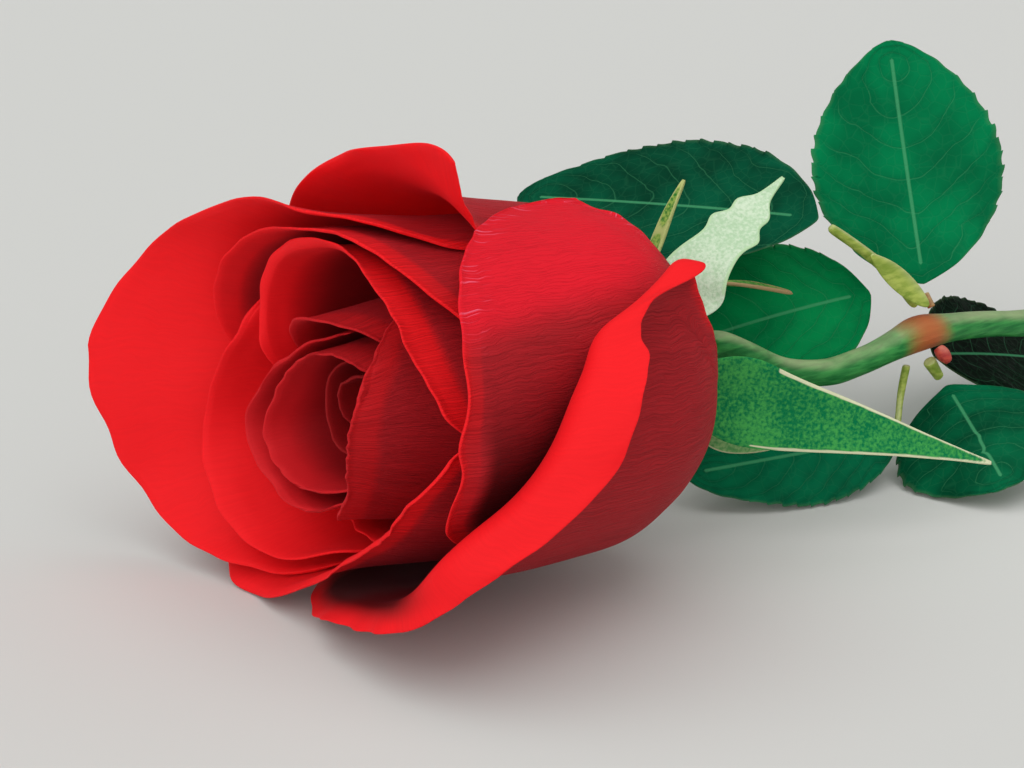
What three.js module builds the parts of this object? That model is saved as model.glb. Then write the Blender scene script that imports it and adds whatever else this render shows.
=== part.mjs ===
// A cut garden rose lying on its side: one open bloom, its hip and sepals, a stem with one joint,
// and two compound leaves. Millimetres, +Z up, the stem along +X, the bloom facing -X.
// The origin is the bottom centre of the whole rose, on the surface that it lies on.
import * as THREE from 'three';

// ---- Driving dimensions (mm, degrees)
const BLOOM_RADIUS = 25;        // belly of the outermost petal
const BLOOM_HEIGHT = 50;        // hip to the rims of the standing petals
const BLOOM_TILT = 4;           // the bloom looks up by this much
const BLOOM_REST = BLOOM_RADIUS - 1;  // height of the bloom's base over the surface
const PETAL_THICKNESS = 0.36;
const PETAL_SPACING = 0.0116;   // clearance between neighbouring petals, per mm of bloom radius
const HIP_RADIUS = 5;
const HIP_LENGTH = 9;
const HIP_TOP = 3;              // where the hip ends in the bloom's own frame
const DOME_HEIGHT = 7.5;        // the part of the hip that the petals grow on
const FIT_GAP = 0.3;            // clearance between pieces that touch
const SEPAL_THICKNESS = 0.55;
const LEAF_THICKNESS = 0.45;
const STEM_RADIUS = 1.9;
const JOINT_RADIUS = 2.7;       // swelling where the leaves leave the stem
const STEM_END = 178;           // where the stem is cut, along X from the bloom's base
const JOINT_DROP = 6.1;         // how far the joint hangs below the bloom's base
const PRICKLE_HEIGHT = 4;
const LOBE_SPREAD = 0.035;      // width of a sepal's side lobe, as a share of its length

const COLOURS = {
  petal: 0xd81420, heart: 0x9c0d16, sepal: 0x5f9a4a, hip: 0x6d9a3c,
  stem: 0x7f9a4f, petiole: 0x9aa33f, leaf: 0x0b5f36, prickle: 0xa8583a,
};

const rose = new THREE.Group();

function addPiece(parent, name, geometry, colour, roughness) {
  const material = new THREE.MeshStandardMaterial({ color: colour, roughness, metalness: 0 });
  const mesh = new THREE.Mesh(geometry, material);
  mesh.name = name;
  parent.add(mesh);
  return mesh;
}

const radians = THREE.MathUtils.degToRad;

// ---- Two builders: a thin sheet over a grid of points, and a round tube along a curve

function closedGeometry(points, faces) {
  const geometry = new THREE.BufferGeometry();
  const flat = new Float32Array(points.length * 3);
  points.forEach((point, i) => point.toArray(flat, i * 3));
  geometry.setAttribute('position', new THREE.BufferAttribute(flat, 3));
  geometry.setIndex(faces);
  geometry.computeVertexNormals();
  return geometry;
}

function gridNormal(grid, i, j) {
  const rows = grid.length - 1;
  const columns = grid[0].length - 1;
  const along = grid[Math.min(i + 1, rows)][j].clone().sub(grid[Math.max(i - 1, 0)][j]);
  const across = grid[i][Math.min(j + 1, columns)].clone().sub(grid[i][Math.max(j - 1, 0)]);
  return across.cross(along).normalize();
}

// A closed sheet of even thickness whose middle surface runs through grid[row][column].
function sheetGeometry(grid, thickness) {
  const rows = grid.length;
  const columns = grid[0].length;
  const points = [];
  for (const side of [0.5, -0.5]) {
    for (let i = 0; i < rows; i += 1) {
      for (let j = 0; j < columns; j += 1) {
        points.push(grid[i][j].clone().addScaledVector(gridNormal(grid, i, j), side * thickness));
      }
    }
  }
  const at = (side, i, j) => (side * rows + i) * columns + j;
  const faces = [];
  const quad = (a, b, c, d) => faces.push(a, b, c, a, c, d);
  for (let i = 0; i + 1 < rows; i += 1) {
    for (let j = 0; j + 1 < columns; j += 1) {
      quad(at(0, i, j), at(0, i, j + 1), at(0, i + 1, j + 1), at(0, i + 1, j));
      quad(at(1, i, j), at(1, i + 1, j), at(1, i + 1, j + 1), at(1, i, j + 1));
    }
  }
  const last = columns - 1;
  for (let i = 0; i + 1 < rows; i += 1) {
    quad(at(0, i, 0), at(0, i + 1, 0), at(1, i + 1, 0), at(1, i, 0));
    quad(at(0, i, last), at(1, i, last), at(1, i + 1, last), at(0, i + 1, last));
  }
  for (let j = 0; j < last; j += 1) {
    quad(at(0, 0, j), at(1, 0, j), at(1, 0, j + 1), at(0, 0, j + 1));
    quad(at(0, rows - 1, j), at(0, rows - 1, j + 1), at(1, rows - 1, j + 1), at(1, rows - 1, j));
  }
  return closedGeometry(points, faces);
}

// A round tube through a curve, with a radius for each place from 0 to 1 along it.
function tubeGeometry(curve, radiusAt, steps, sides) {
  const frames = curve.computeFrenetFrames(steps, false);
  const points = [];
  for (let i = 0; i <= steps; i += 1) {
    const centre = curve.getPointAt(i / steps);
    for (let k = 0; k < sides; k += 1) {
      const turn = (2 * Math.PI * k) / sides;
      points.push(centre.clone()
        .addScaledVector(frames.normals[i], radiusAt(i / steps) * Math.cos(turn))
        .addScaledVector(frames.binormals[i], radiusAt(i / steps) * Math.sin(turn)));
    }
  }
  const faces = [];
  for (let i = 0; i < steps; i += 1) {
    for (let k = 0; k < sides; k += 1) {
      const next = (k + 1) % sides;
      const a = i * sides + k;
      const b = i * sides + next;
      faces.push(a, b, b + sides, a, b + sides, a + sides);
    }
  }
  for (let k = 1; k + 1 < sides; k += 1) {
    faces.push(0, k + 1, k);
    faces.push(steps * sides, steps * sides + k, steps * sides + k + 1);
  }
  return closedGeometry(points, faces);
}

function vector(x, y, z) {
  return new THREE.Vector3(x, y, z);
}

// ---- The bloom's own frame: +Z out along the bloom, angle 0 on its near side, 90 on top

const bloom = new THREE.Group();
const tilt = radians(BLOOM_TILT);
bloom.matrixAutoUpdate = false;
bloom.matrix.makeBasis(
  vector(0, -1, 0),
  vector(Math.sin(tilt), 0, Math.cos(tilt)),
  vector(-Math.cos(tilt), 0, Math.sin(tilt)),
);
bloom.matrix.setPosition(0, 0, BLOOM_REST);
rose.add(bloom);

// Radius of the dome that the petals grow on, at a height over the top of the hip.
function domeRadius(height) {
  const share = Math.min(height / DOME_HEIGHT, 0.98);
  return (HIP_RADIUS - 0.4) * Math.sqrt(1 - share * share);
}

function splineThrough(values) {
  const curve = new THREE.CatmullRomCurve3(values.map((v) => vector(...v)), false, 'centripetal');
  return (share) => curve.getPoint(share);
}

// One petal. rim lists [angle, radius, height, curl] along its upper edge: radius and height are
// shares of the bloom's, and curl is how far in degrees the lip turns outwards there. A fifth
// value is that station's own flare, and a sixth how much of the lip's full length it has.
// The lip narrows towards both ends of the rim, and crease is the share of it that bends.
// belly is the share that the petal swells to. Both radii lose the room of the nest petals that
// it lies inside. seat is the height that it grows at, blunt how square its foot is, and flare how late
// it leaves the belly for its rim.
function petalGeometry(shape) {
  const { rim, belly, seat, blunt, flare, lip, columns, rows } = shape;
  const { lipRows = 3, crease = 1, nest = 0 } = shape;
  const place = splineThrough(rim.map(([angle, radius, height]) => [angle, radius, height]));
  const bend = splineThrough(rim.map(([, , , turn = 18, late = flare, size = 1]) => (
    [turn, late, size])));
  const middle = (rim[0][0] + rim[rim.length - 1][0]) / 2;
  const base = HIP_TOP + seat;
  const foot = domeRadius(seat) + FIT_GAP + PETAL_THICKNESS / 2;
  const bellyHeight = 0.4 * BLOOM_HEIGHT;
  const crowding = nest * (PETAL_THICKNESS + PETAL_SPACING * BLOOM_RADIUS);
  const bellyRadius = belly * BLOOM_RADIUS - crowding;
  const cup = (height) => {
    const left = Math.max(0, (bellyHeight - height) / (bellyHeight - base));
    return foot + (bellyRadius - foot) * (1 - left ** 2) ** (1 / blunt);
  };
  const cupRows = Math.ceil(rows / 2);
  const grid = Array.from({ length: rows + lipRows + 1 }, () => []);
  for (let j = 0; j <= columns; j += 1) {
    const station = place(j / columns);
    const { x: curl, y: late, z: size } = bend(j / columns);
    const turn = radians(curl);
    const rimRadius = station.y * BLOOM_RADIUS - crowding;
    const top = station.z * BLOOM_HEIGHT - lip * size;
    const out = rimRadius - cup(top);
    const waist = Math.min(bellyHeight, base + 0.62 * (top - base));
    for (let i = 0; i <= rows; i += 1) {
      const height = i <= cupRows
        ? base + (waist - base) * (i / cupRows) ** 1.4
        : waist + (top - waist) * ((i - cupRows) / (rows - cupRows));
      const share = (height - base) / (top - base);
      const spread = THREE.MathUtils.smoothstep(height, base - 2, 0.42 * BLOOM_HEIGHT);
      const angle = radians(middle + (station.x - middle) * (0.4 + 0.6 * spread));
      const radius = cup(height) + out * share ** late;
      grid[i].push(vector(radius * Math.cos(angle), radius * Math.sin(angle), height));
    }
    const edge = grid[rows][j];
    const along = edge.clone().sub(grid[rows - 1][j]).normalize();
    const angle = Math.atan2(edge.y, edge.x);
    const outward = vector(Math.cos(angle), Math.sin(angle), 0);
    outward.addScaledVector(along, -outward.dot(along)).normalize();
    const narrow = 0.3 + 0.7 * Math.sin(Math.PI * (j / columns)) ** 0.35;
    const step = (lip * size * narrow) / lipRows;
    const tip = edge.clone();
    for (let k = 1; k <= lipRows; k += 1) {
      const heading = turn * Math.min(1, (k - 0.5) / (lipRows * crease));
      tip.addScaledVector(along, step * Math.cos(heading));
      tip.addScaledVector(outward, step * Math.sin(heading));
      grid[rows + k].push(tip.clone());
    }
  }
  return sheetGeometry(grid, PETAL_THICKNESS);
}

const OUTER = { blunt: 2, flare: 3, columns: 14, rows: 9 };
const MIDDLE = { blunt: 1.7, flare: 2.6, columns: 12, rows: 7 };
const INNER = { blunt: 1.3, flare: 2.2, columns: 10, rows: 6 };
const HEART = { blunt: 1, flare: 1.6, columns: 7, rows: 5 };

// From the outermost petal to the innermost, each seated a little further in than the last.
const PETALS = [
  { name: 'petal_outer_front', ...OUTER, belly: 0.875, seat: 0.4, lip: 12, lipRows: 5,
    crease: 0.5, columns: 17, rim: [
    [-118, 1.08, 0.96, 20, 3, 0.6], [-104, 0.99, 1.04, 20, 3, 0.6],
    [-88, 0.87, 1.08, 25, 3, 0.5], [-70, 0.84, 1.1, 45, 3, 0.45], [-50, 0.88, 1.13, 75, 3, 0.5],
    [-26, 0.88, 1.15, 110, 3, 0.62], [-8, 0.9, 1.05, 125, 3, 0.88], [4, 0.9, 1, 130],
    [14, 0.9, 0.95, 130], [22, 0.91, 0.885, 130, 3, 0.95], [29, 0.93, 0.8, 130, 3, 0.7],
    [34, 0.95, 0.69, 130, 3, 0.5], [39, 1, 0.6, 130, 3, 0.6], [45, 1.03, 0.53, 125, 3, 0.6],
    [51, 1.03, 0.44, 110, 3, 0.5]] },
  { name: 'petal_outer_near', ...OUTER, belly: 0.875, nest: 1, seat: 1.0, lip: 1.6, rim: [
    [-56, 0.846, 0.62], [-42, 0.816, 0.82], [-28, 0.796, 0.99, 50], [-14, 0.836, 1.01, 60],
    [0, 0.886, 1.01, 70], [20, 0.906, 1.02, 60], [38, 0.926, 0.97, 40], [54, 0.906, 0.91],
    [67, 0.926, 0.82], [77, 0.926, 0.71], [87, 0.906, 0.55], [96, 0.881, 0.36]] },
  { name: 'petal_outer_top', ...OUTER, belly: 0.875, nest: 2, seat: 1.6, lip: 1.6, flare: 3.2,
    rim: [
    [73, 1.302, 0.9, 18, 20], [77, 1.312, 0.91, 18, 15], [83, 1.272, 0.91, 18, 9],
    [91, 1.222, 0.91, 18, 5.5], [104, 1.192, 0.9, 18, 4], [117, 1.182, 0.89], [132, 1.182, 0.88],
    [148, 1.182, 0.82], [164, 1.212, 0.72], [178, 1.152, 0.56]] },
  { name: 'petal_outer_low', ...OUTER, belly: 0.875, nest: 2, seat: 1.6, lip: 1.8, rim: [
    [-168, 1.182, 0.58], [-157, 1.302, 0.74], [-147, 1.452, 0.88], [-136, 1.472, 0.98],
    [-126, 1.362, 1.01], [-117, 1.202, 1.01, 30], [-104, 0.932, 1.02, 50],
    [-88, 0.752, 1.04, 60], [-66, 0.672, 1.06, 60], [-40, 0.662, 1.07, 60],
    [-18, 0.712, 1.07, 60], [-2, 0.812, 1.04, 50], [10, 0.832, 0.94, 30], [22, 0.832, 0.7]] },
  { name: 'petal_outer_far', ...OUTER, columns: 15, belly: 0.875, nest: 3, seat: 2.2, lip: 1.6,
    flare: 3.2, rim: [
    [72, 0.873, 0.72], [82, 0.898, 0.9], [98, 0.958, 0.97], [114, 1.018, 0.99],
    [128, 1.148, 0.99], [146, 1.378, 1], [162, 1.638, 1.01], [174, 1.778, 1.08],
    [183, 1.878, 1.13], [194, 1.808, 1.11], [206, 1.758, 1.07], [218, 1.608, 1.04],
    [229, 1.368, 1.01], [240, 1.148, 0.97], [250, 0.978, 0.92], [258, 0.878, 0.84]] },
  { name: 'petal_middle_top', ...MIDDLE, belly: 0.875, nest: 4, seat: 2.8, lip: 1.4, rim: [
    [24, 0.864, 0.7], [38, 0.874, 0.86], [54, 0.884, 0.92], [72, 0.884, 0.97], [92, 0.914, 1],
    [106, 0.944, 1], [120, 1.004, 1], [136, 1.094, 0.99], [152, 1.224, 0.99], [168, 1.294, 0.98],
    [184, 1.234, 0.9], [198, 1.044, 0.72]] },
  { name: 'petal_middle_far', ...MIDDLE, belly: 0.875, nest: 5, seat: 3.4, lip: 1.4, rim: [
    [150, 1.05, 0.88], [161, 1.01, 0.97], [170, 1, 1], [179, 1.09, 1], [189, 1.21, 1],
    [200, 1.3, 1.01], [212, 1.31, 1.02], [225, 1.26, 1.01], [237, 1.13, 1], [249, 0.95, 0.98],
    [258, 0.86, 0.96], [266, 0.83, 0.88]] },
  { name: 'petal_middle_cup', ...MIDDLE, columns: 14, belly: 0.875, nest: 6, seat: 3.9, lip: 2,
    rim: [
    [-14, 0.856, 0.7], [-4, 0.866, 0.84], [8, 0.876, 0.98], [22, 0.816, 1], [40, 0.766, 1],
    [58, 0.786, 1], [78, 0.836, 1], [98, 0.906, 1, 60], [116, 0.946, 1, 90],
    [132, 0.996, 1, 100], [146, 1.006, 0.99, 90], [160, 0.946, 0.99, 60], [174, 0.876, 0.98],
    [188, 0.856, 0.88], [198, 0.846, 0.74]] },
  { name: 'petal_middle_low', ...MIDDLE, belly: 0.867, nest: 7, seat: 4.4, lip: 1.4, rim: [
    [-140, 0.982, 0.72], [-124, 0.922, 0.84], [-110, 0.862, 0.88], [-94, 0.822, 0.9],
    [-76, 0.782, 0.92], [-56, 0.762, 0.93], [-36, 0.762, 0.94], [-16, 0.792, 0.94],
    [2, 0.832, 0.92], [16, 0.842, 0.82], [28, 0.832, 0.66]] },
  { name: 'petal_inner_near', ...INNER, belly: 0.848, nest: 8, seat: 4.8, lip: 1.2, rim: [
    [-114, 0.788, 0.84], [-103, 0.768, 0.96], [-92, 0.718, 1.01], [-78, 0.618, 1.03],
    [-58, 0.528, 1.05], [-34, 0.478, 1.07], [0, 0.458, 1.09, 30], [34, 0.508, 1.06, 30],
    [56, 0.558, 1.02], [72, 0.638, 0.96], [86, 0.708, 0.87], [98, 0.758, 0.72]] },
  { name: 'petal_inner_top', ...INNER, belly: 0.793, nest: 8, seat: 5.2, lip: 1.2, rim: [
    [44, 0.528, 0.74], [58, 0.538, 0.86], [74, 0.568, 0.94], [90, 0.598, 0.98],
    [106, 0.628, 0.99], [122, 0.668, 1, 40], [136, 0.738, 1, 50], [150, 0.798, 0.98, 30],
    [163, 0.818, 0.94], [176, 0.828, 0.85], [188, 0.828, 0.7]] },
  { name: 'petal_eye_outer', ...INNER, columns: 12, belly: 0.718, nest: 8, seat: 5.6, lip: 1.2,
    rim: [
    [118, 0.568, 0.94], [140, 0.628, 0.98], [158, 0.688, 0.99], [172, 0.768, 1], [184, 0.878, 1],
    [194, 0.988, 1], [203, 1.038, 1], [214, 0.968, 1], [226, 0.918, 1], [238, 0.848, 1],
    [250, 0.748, 1], [264, 0.648, 0.99], [278, 0.598, 0.91], [290, 0.578, 0.8]] },
  { name: 'petal_eye_inner', ...INNER, columns: 12, belly: 0.648, nest: 8, seat: 6.0, lip: 1.2,
    rim: [
    [58, 0.408, 0.94], [80, 0.438, 0.98], [104, 0.478, 1], [126, 0.518, 1], [146, 0.578, 1],
    [164, 0.648, 1], [178, 0.708, 1], [188, 0.778, 0.99], [197, 0.898, 0.99], [208, 0.918, 0.99],
    [220, 0.858, 0.99], [232, 0.778, 0.99], [246, 0.678, 0.99], [262, 0.588, 0.98],
    [278, 0.538, 0.93]] },
  { name: 'petal_heart_1', ...HEART, belly: 0.558, nest: 8, seat: 6.3, lip: 1, rim: [
    [104, 0.428, 0.86], [128, 0.468, 0.93], [152, 0.498, 0.95], [180, 0.498, 0.95],
    [208, 0.508, 0.95], [232, 0.518, 0.94], [254, 0.498, 0.9], [272, 0.488, 0.82]] },
  { name: 'petal_heart_2', ...HEART, belly: 0.508, nest: 8, seat: 6.5, lip: 1, rim: [
    [-78, 0.438, 0.88], [-52, 0.408, 0.95], [-24, 0.388, 0.98], [6, 0.378, 0.99],
    [36, 0.378, 0.98], [62, 0.378, 0.95], [86, 0.388, 0.87]] },
  { name: 'petal_heart_3', ...HEART, belly: 0.458, nest: 8, seat: 6.7, lip: 0.8, rim: [
    [76, 0.338, 0.88], [104, 0.358, 0.93], [134, 0.388, 0.95], [164, 0.408, 0.95],
    [194, 0.408, 0.94], [222, 0.398, 0.92], [244, 0.398, 0.84]] },
  { name: 'petal_heart_4', ...HEART, belly: 0.408, nest: 8, seat: 6.9, lip: 0.8, rim: [
    [214, 0.348, 0.85], [244, 0.348, 0.91], [274, 0.338, 0.94], [304, 0.328, 0.95],
    [334, 0.318, 0.95], [362, 0.318, 0.93], [384, 0.318, 0.86]] },
  { name: 'petal_heart_5', ...HEART, belly: 0.358, nest: 8, seat: 7.1, lip: 0.6, rim: [
    [20, 0.278, 0.86], [56, 0.283, 0.91], [92, 0.298, 0.93], [130, 0.308, 0.93],
    [168, 0.308, 0.92], [200, 0.308, 0.86]] },
  { name: 'petal_heart_6', ...HEART, belly: 0.308, nest: 8, seat: 7.3, lip: 0.6, columns: 6, rim: [
    [190, 0.268, 0.84], [226, 0.263, 0.89], [262, 0.258, 0.92], [298, 0.253, 0.92],
    [336, 0.253, 0.9], [366, 0.258, 0.84]] },
];

for (const { name, ...shape } of PETALS) {
  const colour = name.startsWith('petal_heart') ? COLOURS.heart : COLOURS.petal;
  addPiece(bloom, name, petalGeometry(shape), colour, 0.55);
}

// ---- The hip: a round vessel below the petals, with the dome that they grow on

function hipGeometry() {
  const outline = [new THREE.Vector2(0, -HIP_LENGTH)];
  outline.push(new THREE.Vector2(STEM_RADIUS, -HIP_LENGTH));
  const flankSteps = 6;
  for (let i = 1; i < flankSteps; i += 1) {
    const share = i / flankSteps;
    const swell = Math.sin(share * Math.PI) * 0.4;
    const radius = STEM_RADIUS + (HIP_RADIUS - STEM_RADIUS) * share ** 0.6 + swell;
    outline.push(new THREE.Vector2(radius, -HIP_LENGTH * (1 - share)));
  }
  outline.push(new THREE.Vector2(HIP_RADIUS, -FIT_GAP));
  const domeSteps = 7;
  for (let i = 0; i < domeSteps; i += 1) {
    const height = (DOME_HEIGHT * 0.95 * i) / (domeSteps - 1);
    outline.push(new THREE.Vector2(domeRadius(height), height));
  }
  outline.push(new THREE.Vector2(0, DOME_HEIGHT));
  const geometry = new THREE.LatheGeometry(outline, 20);
  geometry.rotateX(Math.PI / 2);
  geometry.translate(0, 0, HIP_TOP);
  return geometry;
}

addPiece(bloom, 'hip', hipGeometry(), COLOURS.hip, 0.6);

// ---- Blades: sepals and leaflets are sheets on a bent midrib

// rib is the midrib's curve, face the side that the blade's top looks to at each end of it,
// halfWidth the blade's half width for each share of the length, fold how far each half rises.
function bladeGeometry({ rib, face, halfWidth, fold, thickness, rows, columns, lean = 0 }) {
  const grid = [];
  for (let i = 0; i <= rows; i += 1) {
    const share = i / rows;
    const centre = rib.getPointAt(share);
    const along = rib.getTangentAt(share);
    const up = face[0].clone().lerp(face[1], share);
    up.addScaledVector(along, -up.dot(along)).normalize();
    const across = up.clone().cross(along).normalize();
    const row = [];
    for (let j = 0; j <= columns; j += 1) {
      const side = (2 * j) / columns - 1;
      const wide = halfWidth(share, i) * side;
      const rise = Math.abs(wide) * Math.tan(radians(fold));
      row.push(centre.clone()
        .addScaledVector(across, wide)
        .addScaledVector(up, rise)
        .addScaledVector(along, lean * Math.abs(wide)));
    }
    grid.push(row);
  }
  return sheetGeometry(grid, thickness);
}

// A leaflet: pointed oval with teeth that lean to its tip.
function leafletGeometry({ from, to, face, width, sag, fold, teeth }) {
  const middle = from.clone().lerp(to, 0.5);
  middle.addScaledVector(face[0].clone().add(face[1]).normalize(), sag);
  const rib = new THREE.QuadraticBezierCurve3(from, middle, to);
  const toothDepth = 0.03 * width;
  const halfWidth = (share, row) => {
    const oval = Math.sin(Math.PI * share ** 0.82) ** 0.72;
    const tooth = row % 2 === 1 ? toothDepth : 0;
    return 0.3 + (width / 2 - toothDepth) * Math.max(oval, 0) + tooth * Math.sqrt(Math.max(oval, 0));
  };
  return bladeGeometry({
    rib, face, halfWidth, fold, thickness: LEAF_THICKNESS, rows: 2 * teeth, columns: 4, lean: 0.12,
  });
}

// A sepal: broad at its foot, drawn out to a long point, with side lobes on some.
function sepalGeometry({ path, face, width, fold, rows, taper, lobes = [] }) {
  const rib = new THREE.CatmullRomCurve3(path);
  const halfWidth = (share) => {
    const shoulder = THREE.MathUtils.smoothstep(share, -0.12, 0.2);
    const blade = 0.25 + (width / 2) * shoulder * (1 - share) ** taper;
    const lobe = lobes.reduce((sum, [place, reach]) => (
      sum + reach * Math.exp(-(((share - place) / LOBE_SPREAD) ** 2))), 0);
    return blade + lobe;
  };
  return bladeGeometry({
    rib, face, halfWidth, fold, thickness: SEPAL_THICKNESS, rows, columns: 4,
  });
}

const towardsTop = vector(0, 0, 1);
const towardsNear = vector(-0.3, -0.8, 0.35);

// Sepal feet stand around the hip, just under the outermost petal.
function sepalFoot(angle, below) {
  const turn = radians(angle);
  const radius = HIP_RADIUS + FIT_GAP + 0.35 + 0.3 * below;
  const foot = vector(radius * Math.cos(turn), radius * Math.sin(turn), HIP_TOP - below);
  return foot.applyMatrix4(bloom.matrix);
}

// A point given from the bloom's base, which the sepals and the neck rise and sink with.
function fromBase(x, y, z) {
  return vector(x, y, BLOOM_REST + z);
}

// Each blade leaves the hip facing away from it, and turns to its own face further out.
const SEPALS = [
  { name: 'sepal_near', angle: -20, width: 14.5, fold: 6, rows: 12, taper: 1.15,
    reach: [fromBase(5.5, -9, -5.6), fromBase(18.5, -15, -10.4), fromBase(36, -22, -17.2)],
    face: vector(-0.2, -0.8, 0.5) },
  { name: 'sepal_top', angle: 75, width: 11.5, fold: 8, rows: 14, taper: 1.25,
    reach: [fromBase(2.5, -1.5, 9.6), fromBase(9, -1, 13.6), fromBase(20, 1, 18.6)],
    face: vector(-0.6, -0.6, 0.5), lobes: [[0.55, 2.6], [0.72, 1.6]] },
  { name: 'sepal_far_top', angle: 130, width: 5, fold: 12, rows: 8, taper: 1,
    reach: [fromBase(2, 6, 9), fromBase(5, 6.5, 14.5), fromBase(8, 6.5, 19.2)],
    face: vector(-0.9, -0.3, 0.2) },
  { name: 'sepal_far', angle: 190, width: 5, fold: 14, rows: 8, taper: 1,
    reach: [fromBase(6, 8, 3), fromBase(15, 6.5, 4), fromBase(26, 4.5, 1)],
    face: vector(-0.2, -0.4, 1) },
  { name: 'sepal_low', angle: -95, width: 8, fold: 10, rows: 8, taper: 0.85,
    reach: [fromBase(4, -3, -10), fromBase(9, -3.5, -13), fromBase(16, -4, -15)],
    face: vector(0.3, -0.9, 0.1) },
];

for (const { name, angle, reach, face, ...shape } of SEPALS) {
  const path = [sepalFoot(angle, 0.7), sepalFoot(angle, 3), ...reach];
  const away = vector(0, -Math.cos(radians(angle)), Math.sin(radians(angle)));
  const blade = sepalGeometry({ path, face: [away, face], ...shape });
  addPiece(rose, name, blade, COLOURS.sepal, 0.6);
}

// ---- The stem: from the hip down past the joint to the cut

const JOINT = vector(42.2, -3, BLOOM_REST - JOINT_DROP);
// A point given from the joint, which the leaves go with.
function fromJoint(x, y, z) {
  return JOINT.clone().add(vector(x, y, z));
}

// A point on the bloom's axis, below the end of the hip.
function belowHip(distance) {
  return vector(0, 0, HIP_TOP - HIP_LENGTH - distance).applyMatrix4(bloom.matrix);
}
const stemCurve = new THREE.CatmullRomCurve3([
  belowHip(FIT_GAP),
  belowHip(2),
  fromBase(13, -0.6, -3.4),
  fromBase(20, -1.2, -7),
  fromJoint(-14.7, 1.2, -2.2),
  fromJoint(-7, 0.4, -1.3),
  JOINT,
  fromJoint(23.8, -0.2, -3.6),
  vector(90, -1, 8.6),
  vector(115, 3, 4.4),
  vector(140, 6, STEM_RADIUS + 0.3),
  vector(STEM_END, 8, STEM_RADIUS),
]);
const stemLength = stemCurve.getLength();

function shareNear(point) {
  let best = 0;
  const steps = 400;
  for (let i = 0; i <= steps; i += 1) {
    const here = stemCurve.getPointAt(i / steps).distanceTo(point);
    if (here < stemCurve.getPointAt(best).distanceTo(point)) {
      best = i / steps;
    }
  }
  return best;
}

const jointShare = shareNear(JOINT);
function stemRadius(share) {
  const fromJoint = ((share - jointShare) * stemLength) / (2 * JOINT_RADIUS);
  return STEM_RADIUS + (JOINT_RADIUS - STEM_RADIUS) * Math.exp(-fromJoint * fromJoint * 2.2);
}
addPiece(rose, 'stem', tubeGeometry(stemCurve, stemRadius, 72, 10), COLOURS.stem, 0.55);

// A point beside the stem, at an angle round it from the top towards the near side.
function besideStem(share, angle, off) {
  const along = stemCurve.getTangentAt(share);
  const up = towardsTop.clone().addScaledVector(along, -towardsTop.dot(along)).normalize();
  const near = along.clone().cross(up).normalize();
  const turn = radians(angle);
  return stemCurve.getPointAt(share)
    .addScaledVector(up, off * Math.cos(turn))
    .addScaledVector(near, off * Math.sin(turn));
}

// ---- Two compound leaves that leave the stem at the joint

const stalkStart = JOINT_RADIUS + FIT_GAP + 0.9;

function stalk(name, points, thick, thin) {
  const curve = new THREE.CatmullRomCurve3(points);
  const geometry = tubeGeometry(curve, (share) => thick + (thin - thick) * share, 10, 8);
  addPiece(rose, name, geometry, COLOURS.petiole, 0.6);
}

stalk('petiole_upper', [
  besideStem(jointShare, -12, stalkStart), fromJoint(-3.6, 1.6, 8.2), fromJoint(-8.4, 3.4, 12.6),
  fromJoint(-12.8, 4.8, 16)], 1.05, 0.65);
stalk('petiole_near', [
  besideStem(jointShare + 0.006, 12, stalkStart - 0.3), fromJoint(1.3, 0.4, 5.2)], 0.6, 0.5);
stalk('petiole_lower', [
  besideStem(jointShare, 150, stalkStart), fromJoint(2, -2.2, -6)], 1, 0.75);
stalk('petiole_lower_left', [
  besideStem(jointShare - 0.02, 172, stalkStart - 0.5), fromJoint(-3.6, -0.6, -7.4),
  fromJoint(-6, -2.4, -11)], 0.6, 0.45);

const stipule = bladeGeometry({
  rib: new THREE.CatmullRomCurve3([
    fromJoint(-1, -2.4, 4.6), fromJoint(-4.2, -0.4, 8.2), fromJoint(-8.4, 1.4, 12.2)]),
  face: [towardsNear, towardsNear],
  halfWidth: (share) => 0.35 + 1.25 * Math.sin(Math.PI * Math.min(share * 1.05, 1)) ** 0.7,
  fold: -14, thickness: LEAF_THICKNESS, rows: 10, columns: 2,
});
addPiece(rose, 'stipule_upper', stipule, COLOURS.petiole, 0.6);

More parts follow.
